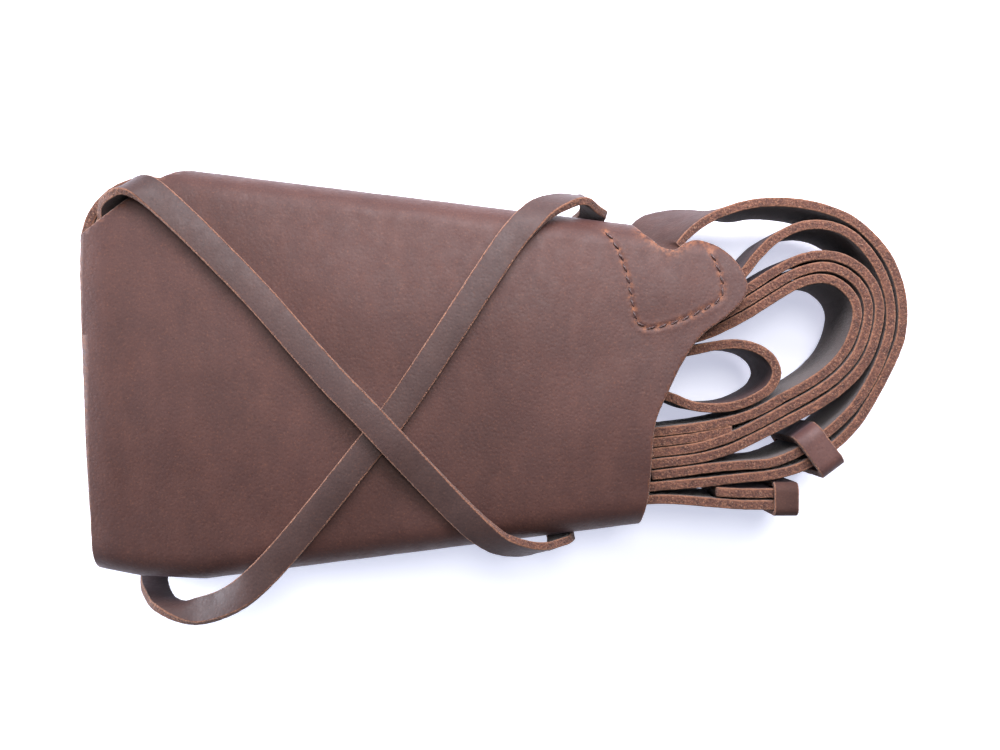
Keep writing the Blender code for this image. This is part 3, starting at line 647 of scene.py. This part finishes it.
def grain_leather(name, dark, mid, light, worn, roughness=0.54, flecks=True, sheen=0.05, specular=0.25):
    """Waxed grain side: mottled colour, rubbed places, pores, fine creases and a few flecks of lint."""
    n = Nodes(name)
    cloud = n.noise(38.0, 4.0, 0.6)
    patch = n.noise(210.0, 4.0, 0.65, n.stretched((1.0, 0.45, 1.0)))
    speck = n.noise(2300.0, 3.0, 0.7)
    pores = n.cells(1150.0)
    colour = n.mix(n.range(cloud, 0.3, 0.7), dark, mid)
    colour = n.mix(n.range(patch, 0.42, 0.8, 0.0, 0.55), colour, light)
    colour = n.mix(n.range(speck, 0.56, 0.82, 0.0, 0.34), colour, worn)
    colour = n.mix(n.range(speck, 0.46, 0.2, 0.0, 0.6), colour, [0.45 * c for c in dark])
    rubbed = n.maths("MULTIPLY", n.attribute("rub"), n.range(n.noise(900.0, 4.0, 0.75), 0.42, 0.62, 0.0, 1.0))
    colour = n.mix(rubbed, colour, worn)
    if flecks:
        near = n.range(n.cells(62.0), 0.022, 0.008)
        chosen = n.range(n.noise(40.0, 1.0), 0.56, 0.6)
        colour = n.mix(n.maths("MULTIPLY", near, chosen), colour, (0.75, 0.70, 0.68))
    rough = n.range(n.noise(330.0, 4.0, 0.65), 0.25, 0.75, roughness - 0.08, roughness + 0.12)
    creases = n.noise(420.0, 5.0, 0.7, n.stretched((1.0, 0.6, 1.0)))
    fine = n.bump(n.range(pores, 0.0, 0.55), 0.00006, 0.5)
    middle = n.bump(n.noise(900.0, 4.0, 0.7), 0.00012, 0.3, fine)
    wide = n.bump(creases, 0.0003, 0.13, middle)
    n.set(Base_Color=colour, Roughness=rough, Normal=wide, Sheen_Weight=sheen, Sheen_Roughness=0.45,
          Sheen_Tint=SHEEN_TINT, Specular_IOR_Level=specular)
    return n.material


def cut_leather(name, dark, mid, light, pale):
    """Raw cut edge: loose fibres in rust, brown and tan, darker pits, and a burnished outline."""
    n = Nodes(name)
    coarse = n.noise(520.0, 4.0, 0.75)
    fine = n.noise(1900.0, 4.0, 0.8)
    clumps = n.cells(1500.0, output="Distance")
    colour = n.mix(n.range(coarse, 0.36, 0.66), dark, mid)
    colour = n.mix(n.range(fine, 0.52, 0.68), colour, light)
    colour = n.mix(n.range(fine, 0.44, 0.34, 0.0, 0.75), colour, [0.3 * c for c in dark])
    colour = n.mix(n.range(n.noise(3000.0, 3.0, 0.8), 0.6, 0.72, 0.0, 0.85), colour, pale)
    near_rim = n.range(n.attribute("rim"), 0.55, 0.95)
    outline = n.maths("MULTIPLY", near_rim, n.range(coarse, 0.3, 0.6, 0.25, 0.75))
    colour = n.mix(outline, colour, light)
    nap = n.bump(fine, 0.0003, 0.9)
    lumps = n.bump(n.range(clumps, 0.0, 0.6), 0.0003, 0.6, nap)
    n.set(Base_Color=colour, Roughness=0.92, Normal=lumps, Sheen_Weight=0.12, Sheen_Roughness=0.6,
          Specular_IOR_Level=0.2)
    return n.material


def flesh_leather(name, dark, mid):
    """Flesh side: a short brushed nap. Its very dark brown is partly the flesh side's own colour and partly
    painted shade for the inner walls.
    """
    n = Nodes(name)
    nap = n.noise(1900.0, 4.0, 0.75, n.stretched((1.0, 1.0, 0.6)))
    patch = n.noise(160.0, 4.0, 0.6)
    colour = n.mix(n.range(patch, 0.3, 0.7), dark, mid)
    colour = n.mix(n.range(nap, 0.5, 0.75, 0.0, 0.6), colour, [1.9 * c for c in mid])
    colour = n.mix(n.range(nap, 0.45, 0.25, 0.0, 0.6), colour, [0.4 * c for c in dark])
    raised = n.bump(nap, 0.0003, 0.8)
    n.set(Base_Color=colour, Roughness=0.95, Normal=raised, Sheen_Weight=0.15, Sheen_Roughness=0.7,
          Specular_IOR_Level=0.15)
    return n.material


def thread_material():
    n = Nodes("waxed_thread")
    twist = n.noise(2600.0, 3.0, 0.7)
    colour = n.mix(n.range(twist, 0.35, 0.7), (0.018, 0.008, 0.008), (0.085, 0.04, 0.035))
    raised = n.bump(twist, 0.00008, 0.7)
    n.set(Base_Color=colour, Roughness=0.42, Normal=raised, Specular_IOR_Level=0.5)
    return n.material


# ---------------------------------------------------------------- the sleeve


def stitch_path():
    curve = catmull_rom([(x, y, 0.0) for x, y in STITCH_ROW])
    lengths = lengths_along(curve)
    count = int(round(lengths[-1] / STITCH_PITCH))
    wanted = np.linspace(0.0, lengths[-1], count + 1)
    return np.column_stack([np.interp(wanted, lengths, column) for column in curve.T])[:, :2], curve[:, :2]


def panel_outline():
    """The cut edge of the flat panel as (x, around) points, anticlockwise."""
    seen = [(x, around_at(x, y)) for x, y in MOUTH_AND_TAB]
    mouth = [(UNDER_MOUTH_X, long_edge(-1, UNDER_MOUTH_X)),
             (LOWER_SIDE_MOUTH_X, wall_middle(-1, LOWER_SIDE_MOUTH_X)),
             *seen,
             (NOTCH_FOOT_X, wall_middle(1, NOTCH_FOOT_X) - NOTCH_FOOT_RISE),
             (UPPER_SIDE_MOUTH_X, wall_middle(1, UPPER_SIDE_MOUTH_X)),
             (UNDER_MOUTH_X, long_edge(1, UNDER_MOUTH_X))]
    left, start_y = CORNER_CUT_START
    outline = [tuple(point) for point in catmull_rom(mouth, 8)]
    outline += [(x, long_edge(1, x)) for x in (*UPPER_LONG_EDGE_XS, left)]
    outline.append((left, wall_middle(1, left) * 2 - start_y))
    outline.append((CORNER_CUT_TIP_X, wall_middle(1, CORNER_CUT_TIP_X)))
    outline.append(CORNER_CUT_START)
    outline += WIDE_END
    outline.append((WIDE_END_WALL_X, wall_middle(-1, WIDE_END_WALL_X)))
    outline += [(x, long_edge(-1, x)) for x in LOWER_LONG_EDGE_XS]
    return np.array(outline)


def inset(outline, amount):
    """The outline moved inwards; it runs anticlockwise."""
    ahead = unit(np.roll(outline, -1, axis=0) - outline)
    behind = np.roll(ahead, 1, axis=0)
    normals = unit(np.column_stack([-(ahead + behind)[:, 1], (ahead + behind)[:, 0]]))
    return outline + normals * amount


def grid_lines(low, high, fine):
    """Coarse lines over the whole span and fine ones over the part that has the stitching."""
    lines, value = [], low
    while value < high:
        lines.append(value)
        value += FINE_GRID if fine[0] <= value < fine[1] else COARSE_GRID
    return lines


def cut_up(shape, faces, lines, axis):
    """Cuts flat faces along lines across one axis, halving the work each time."""
    if not lines or not faces:
        return
    middle = len(lines) // 2
    where = [0.0, 0.0, 0.0]
    across = [0.0, 0.0, 0.0]
    where[axis] = lines[middle]
    across[axis] = 1.0
    edges = dict.fromkeys(edge for face in faces for edge in face.edges)
    corners = dict.fromkeys(vertex for face in faces for vertex in face.verts)
    parts = [*faces, *edges, *corners]
    made = bmesh.ops.bisect_plane(shape, geom=parts, plane_co=where, plane_no=across, dist=1e-5)
    halves = ([], [])
    for item in made["geom"]:
        if isinstance(item, bmesh.types.BMFace):
            halves[item.calc_center_median()[axis] > lines[middle]].append(item)
    cut_up(shape, halves[0], lines[:middle], axis)
    cut_up(shape, halves[1], lines[middle + 1:], axis)


def flat_panel():
    """The flat pattern as (x, around) points, its cells, and its rim in order."""
    shape = bmesh.new()
    shape.faces.new([shape.verts.new((x, around, 0.0)) for x, around in inset(panel_outline(), RIM_INSET)])
    reach = long_edge(1, CORNER_CUT_START[0])
    cut_up(shape, list(shape.faces), grid_lines(GRID_START, FINE_X[1], FINE_X), 0)
    cut_up(shape, list(shape.faces), grid_lines(-reach, reach, FINE_Y), 1)
    bmesh.ops.remove_doubles(shape, verts=shape.verts, dist=WELD_DISTANCE)
    bmesh.ops.dissolve_degenerate(shape, edges=shape.edges, dist=WELD_DISTANCE)
    shape.verts.index_update()
    pattern = np.array([vertex.co[:2] for vertex in shape.verts])
    cells = [[vertex.index for vertex in face.verts] for face in shape.faces]
    rim = {}
    for face in shape.faces:
        for loop in face.loops:
            if loop.edge.is_boundary:
                rim[loop.vert.index] = loop.link_loop_next.vert.index
    shape.free()
    return pattern, cells, rim


def leather_sleeve(materials):
    pattern, cells, rim = flat_panel()
    holes, row = stitch_path()
    before = {b: a for a, b in rim.items()}
    outward = {}
    for i, after in rim.items():
        ahead = unit(pattern[after] - pattern[i]) + unit(pattern[i] - pattern[before[i]])
        outward[i] = unit(np.array([ahead[1], -ahead[0]]))
    lip = catmull_rom([(x, y) for x, y in MOUTH_AND_TAB[12:]], 6)
    row_middle = row.mean(axis=0)

    def relief(x, around):
        """Height above the smooth leather, and how far the wax is rubbed off."""
        if not (FINE_X[0] < x < FINE_X[1] and FINE_Y[0] < around < FINE_Y[1] + 4.0):
            return 0.0, 0.0
        here = np.array([x, around])
        to_row = np.linalg.norm(row - here, axis=1).min()
        to_hole = np.linalg.norm(holes - here, axis=1).min()
        to_lip = np.linalg.norm(lip - here, axis=1).min()
        inside = smooth_step(1.0 - np.linalg.norm((here - row_middle) * (1.0, 1.3)) / TAB_BULGE_RADIUS)
        height = TAB_BULGE * inside - faded(to_row, GROOVE_DEPTH, GROOVE_WIDTH)
        pucker = faded(to_row - PUCKER_PLACE, PUCKER_HEIGHT, PUCKER_WIDTH)
        height += pucker * (0.6 + 0.4 * ripple(x, around))
        rub = faded(to_hole, *HOLE_RUB) + faded(to_row, *ROW_RUB)
        rub += faded(to_lip, *LIP_RUB) * smooth_step((around - 20.0) / 6.0)
        return height, min(rub, 1.0)

    points, rubs = [], []
    for x, around in pattern:
        height, rub = relief(x, around)
        points.append(settle(wrapped(x, around, -height)))
        rubs.append(rub)
    for i in rim:
        rubs[i] = min(1.0, rubs[i] + RIM_RUB)
    for x, around in pattern:
        points.append(settle(wrapped(x, around, PANEL_THICKNESS)))
    count = len(pattern)
    faces = [tuple(cell) for cell in cells] + [tuple(i + count for i in reversed(cell)) for cell in cells]
    zones = [GRAIN] * len(cells) + [FLESH] * len(cells)
    rows = [{i: i for i in rim}]
    rims = [0.0] * (2 * count)
    for k, (reach, share) in enumerate(RIM_ROWS):
        row_indices = {}
        for i in rim:
            x, around = pattern[i]
            raw = 0.07 * ripple(x / 0.8, around / 0.8, 3.0 * k)
            raw += 0.05 * ripple(x / 0.3, around / 0.3, 7.0 + k)
            x, around = pattern[i] + outward[i] * (reach + raw)
            row_indices[i] = len(points)
            points.append(settle(wrapped(x, around, PANEL_THICKNESS * share)))
            rims.append(1.0 if share < 0.2 or share > 0.85 else abs(2 * share - 1))
        rows.append(row_indices)
    rows.append({i: i + count for i in rim})
    for upper, lower in zip(rows, rows[1:]):
        for i, after in rim.items():
            faces.append((upper[i], upper[after], lower[after], lower[i]))
            zones.append(CUT)
    rubs += [0.0] * (len(points) - count)
    return make_piece("leather_sleeve", points, faces, zones, materials, {"rim": rims, "rub": rubs},
                      "wrapped_set", ["sleeve_panel"])


# ---------------------------------------------------------------- straps, lace, keepers and thread


def long_strap(materials):
    route = [
        *OUTER_TURN, *left_turn("outer"), *SECOND_TURN, *left_turn("second"), *THIRD_TURN,
        *left_turn("third"), *FOURTH_TURN, *left_turn("inner"), *INNER_LOOP,
        *left_turn("tail", upward=False), *STRAP_TAIL,
    ]
    middles, halves = edge_strip(TWIST + on_edge(route))
    return strip("long_strap", middles, halves, STRAP_FULLNESS, -1, 1.3, materials, "wrapped_set",
                 ["shoulder_strap"], rise=0.5)


def short_strap(materials):
    (x, low), (_, high) = ADJUSTER_BACK[-1], ADJUSTER_TAIL[0]
    middle = 0.5 * (low + high)
    bend = []
    for step in range(HAIRPIN_STEPS + 1):
        angle = math.pi * (step / HAIRPIN_STEPS - 0.5)
        bend.append((x + HAIRPIN_REACH + HAIRPIN_BEND * math.cos(angle),
                     middle + 0.5 * (high - low) * math.sin(angle)))
    route = [*ADJUSTER_OUT, *left_turn("adjuster", upward=False), *ADJUSTER_BACK, *bend, *ADJUSTER_TAIL]
    middles, halves = edge_strip(on_edge(route))
    return strip("short_strap", middles, halves, STRAP_FULLNESS, 1, 7.9, materials, "wrapped_set",
                 ["adjusting_strap"], rise=0.5)


def flat_lace(materials):
    curve = catmull_rom([[*middle, *direction] for middle, direction in LACE])
    curve[:, 2] = np.maximum(curve[:, 2], 0.5 * LACE_THICKNESS)
    even = resampled(curve, 0.8, lengths_along(curve[:, :3]))
    middles, across = even[:, :3], even[:, 3:]
    ahead = unit(np.gradient(middles, axis=0))
    across = unit(across - ahead * np.sum(across * ahead, axis=1, keepdims=True))

    def lie_down(point):
        """On top of the sleeve the lace sinks with the leather."""
        x, y, z = point
        share = smooth_step((z - 26.0) / 8.0)
        return [x, y, z - (settled(x, y) + LACE_SETTLE) * share]

    return strip("flat_lace", middles, across * 0.5 * LACE_WIDTH, LACE_THICKNESS, -1, 3.1, materials,
                 "wrapped_set", ["tie_lace"], roughness=0.07, adjust=lie_down)


def keeper_loop(name, layout, seed, materials, body, node):
    """A leather band closed round upright straps."""
    (x, y), direction, across, width, wall = layout
    run = unit(np.array([*direction, 0.0]))
    side = np.array([-run[1], run[0], 0.0])
    low = STRAP_BOTTOM - KEEPER_CLEARANCE - wall
    high = STRAP_TOP + KEEPER_CLEARANCE + wall
    radius = 0.5 * wall + KEEPER_INNER_CORNER
    half, bottom, top = 0.5 * (across - wall), low + 0.5 * wall, high - 0.5 * wall
    path = []
    for s, z, start in ((half - radius, top - radius, 0), (radius - half, top - radius, 90),
                        (radius - half, bottom + radius, 180), (half - radius, bottom + radius, 270)):
        for angle in np.radians(np.linspace(start, start + 90, 9)):
            path.append(np.array([x, y, 0.0]) + side * (s + radius * math.cos(angle))
                        + np.array([0.0, 0.0, z + radius * math.sin(angle)]))
    path.append(path[0])
    path = np.array(path)
    middles = resampled(path, 0.6, lengths_along(path))[:-1]
    halves = np.tile(run * 0.5 * width, (len(middles), 1))
    return strip(name, middles, halves, wall, 1, seed, materials, body, [node],
                 closed=True, roughness=0.07)


def stitch_threads(material):
    """Two-ply stitches that dip into the leather at each hole."""
    holes, _ = stitch_path()
    points, faces = [], []
    sides, rings = PLY_SIDES, PLY_RINGS
    for a, b in zip(holes, holes[1:]):
        ahead = unit(b - a)
        beside = np.array([-ahead[1], ahead[0]])
        start, end = a + ahead * STITCH_GAP, b - ahead * STITCH_GAP
        for ply in (0, 1):
            line = []
            for t in np.linspace(0.0, 1.0, rings):
                turn = 2 * math.pi * (PLY_TURNS * t + 0.5 * ply)
                x, y = start + (end - start) * t + beside * STITCH_SLANT * (2 * t - 1)
                arch = math.sin(math.pi * t) ** 0.6
                x, y = np.array([x, y]) + beside * (PLY_OFFSET * math.cos(turn))
                z = top_height(x, y) + STITCH_FOOT + STITCH_RISE * arch + PLY_OFFSET * math.sin(turn)
                line.append((x, y, z))
            line = np.array(line)
            tangents = unit(np.gradient(line, axis=0))
            first = unit(np.cross(tangents, [0.0, 0.0, 1.0]))
            second = np.cross(first, tangents)
            base = len(points)
            for i in range(rings):
                for k in range(sides):
                    angle = 2 * math.pi * k / sides
                    outwards = first[i] * math.cos(angle) + second[i] * math.sin(angle)
                    points.append(line[i] + PLY_RADIUS * outwards)
            for i in range(rings - 1):
                for k in range(sides):
                    m = (k + 1) % sides
                    faces.append((base + i * sides + k, base + i * sides + m,
                                  base + (i + 1) * sides + m, base + (i + 1) * sides + k))
            faces.append(tuple(base + k for k in range(sides)))
            faces.append(tuple(base + (rings - 1) * sides + k for k in range(sides)))
    return make_piece("stitch_threads", points, faces, [0] * len(faces), [material], {},
                      "wrapped_set", ["tab_stitching"])


# ---------------------------------------------------------------- floor, light and camera

CAMERA_HEIGHT = 0.316
CAMERA_LENS = 46.48
CAMERA_SENSOR = 36.0
FLOOR_SIZE = 3.0
FLOOR_LEVEL = -0.0002
FLOOR_GLOW = 0.64
SKY_COLOUR = (0.92, 0.95, 1.0, 1.0)
SKY_STRENGTH = 0.22

# Name: place, what it points at, size, power in watts, colour
LAMPS = {
    "overhead": ((0.07, 0.22, 1.0), (0.02, 0.0, 0.0), (0.28, 0.24), 4.8, (1.0, 0.98, 0.97)),
    "window_side": ((0.05, 0.17, 0.19), (0.03, 0.03, 0.03), (0.30, 0.14), 1.9, (0.97, 0.93, 1.0)),
    "left_side": ((-0.36, 0.03, 0.08), (-0.09, 0.0, 0.02), (0.25, 0.08), 2.4, (0.86, 0.9, 1.0)),
}


def floor():
    n = Nodes("pale_floor")
    faint = n.noise(30.0, 2.0)
    n.set(Base_Color=n.mix(faint, (0.80, 0.81, 0.84), (0.83, 0.84, 0.86)), Roughness=0.9,
          Emission_Color=(0.76, 0.80, 1.0, 1.0), Emission_Strength=FLOOR_GLOW, Specular_IOR_Level=0.1)
    mesh = bpy.data.meshes.new("floor")
    half = 0.5 * FLOOR_SIZE
    corners = [(-half, -half), (half, -half), (half, half), (-half, half)]
    mesh.from_pydata([(x, y, FLOOR_LEVEL) for x, y in corners], [], [(0, 1, 2, 3)])
    mesh.materials.append(n.material)
    ground = bpy.data.objects.new("floor", mesh)
    bpy.context.scene.collection.objects.link(ground)


def area_light(name, place, target, size, power, colour):
    light = bpy.data.lights.new(name, "AREA")
    light.shape = "RECTANGLE"
    light.size, light.size_y = size
    light.energy = power
    light.color = colour
    lamp = bpy.data.objects.new(name, light)
    lamp.location = place
    lamp.rotation_euler = (Vector(target) - Vector(place)).to_track_quat("-Z", "Y").to_euler()
    bpy.context.scene.collection.objects.link(lamp)


def studio():
    world = bpy.data.worlds.new("soft_world")
    world.use_nodes = True
    world.node_tree.nodes["Background"].inputs["Color"].default_value = SKY_COLOUR
    world.node_tree.nodes["Background"].inputs["Strength"].default_value = SKY_STRENGTH
    bpy.context.scene.world = world
    for name, lamp in LAMPS.items():
        area_light(name, *lamp)
    bpy.context.scene.view_settings.view_transform = "Standard"
    lens = bpy.data.cameras.new("camera")
    lens.sensor_width = CAMERA_SENSOR
    lens.lens = CAMERA_LENS
    lens.clip_start = 0.01
    camera = bpy.data.objects.new("camera", lens)
    camera.location = (CENTRE[0] * METRE, CENTRE[1] * METRE, CAMERA_HEIGHT)
    bpy.context.scene.collection.objects.link(camera)
    bpy.context.scene.camera = camera


# ---------------------------------------------------------------- everything together


# Leather colours: dark, middle and light, then where the wax is rubbed off or the fibres are pale
PANEL_BROWNS = (
    (0.043, 0.0185, 0.0155), (0.059, 0.0255, 0.021), (0.079, 0.034, 0.026), (0.22, 0.085, 0.038),
)
STRAP_BROWNS = ((0.040, 0.021, 0.018), (0.056, 0.029, 0.024), (0.072, 0.036, 0.028), (0.17, 0.07, 0.038))
KEEPER_BROWNS = ((0.065, 0.032, 0.029), (0.085, 0.041, 0.036), (0.11, 0.05, 0.04), (0.20, 0.085, 0.045))
LACE_BROWNS = ((0.038, 0.022, 0.020), (0.051, 0.028, 0.025), (0.066, 0.036, 0.030), (0.17, 0.07, 0.038))
CUT_BROWNS = ((0.052, 0.021, 0.016), (0.108, 0.044, 0.029), (0.23, 0.105, 0.058), (0.46, 0.30, 0.20))
# Flesh browns: partly the flesh side's own dark brown, partly painted shade that darkens the inner walls of
# the coil.
FLESH_BROWNS_WITH_PAINTED_SHADE = ((0.020, 0.010, 0.008), (0.040, 0.019, 0.015))


def build():
    cut = cut_leather("cut_edge", *CUT_BROWNS)
    flesh = flesh_leather("flesh_side", *FLESH_BROWNS_WITH_PAINTED_SHADE)
    panel = grain_leather("panel_grain", *PANEL_BROWNS)
    strap = grain_leather("strap_grain", *STRAP_BROWNS, roughness=0.68, flecks=False, sheen=0.03,
                          specular=0.1)
    loop = grain_leather("keeper_grain", *KEEPER_BROWNS, roughness=0.5, flecks=False)
    lace = grain_leather("lace_grain", *LACE_BROWNS, roughness=0.52, flecks=False, specular=0.24)
    leather_sleeve([panel, flesh, cut])
    long_strap([strap, flesh, cut])
    short_strap([strap, flesh, cut])
    flat_lace([lace, flesh, cut])
    keeper_loop("wide_loop", LARGE_KEEPER, 5.5, [loop, flesh, cut], "large_keeper_body", "large_keeper")
    keeper_loop("narrow_loop", SMALL_KEEPER, 9.5, [strap, flesh, cut], "small_keeper_body", "small_keeper")
    stitch_threads(thread_material())
    floor()
    studio()


build()
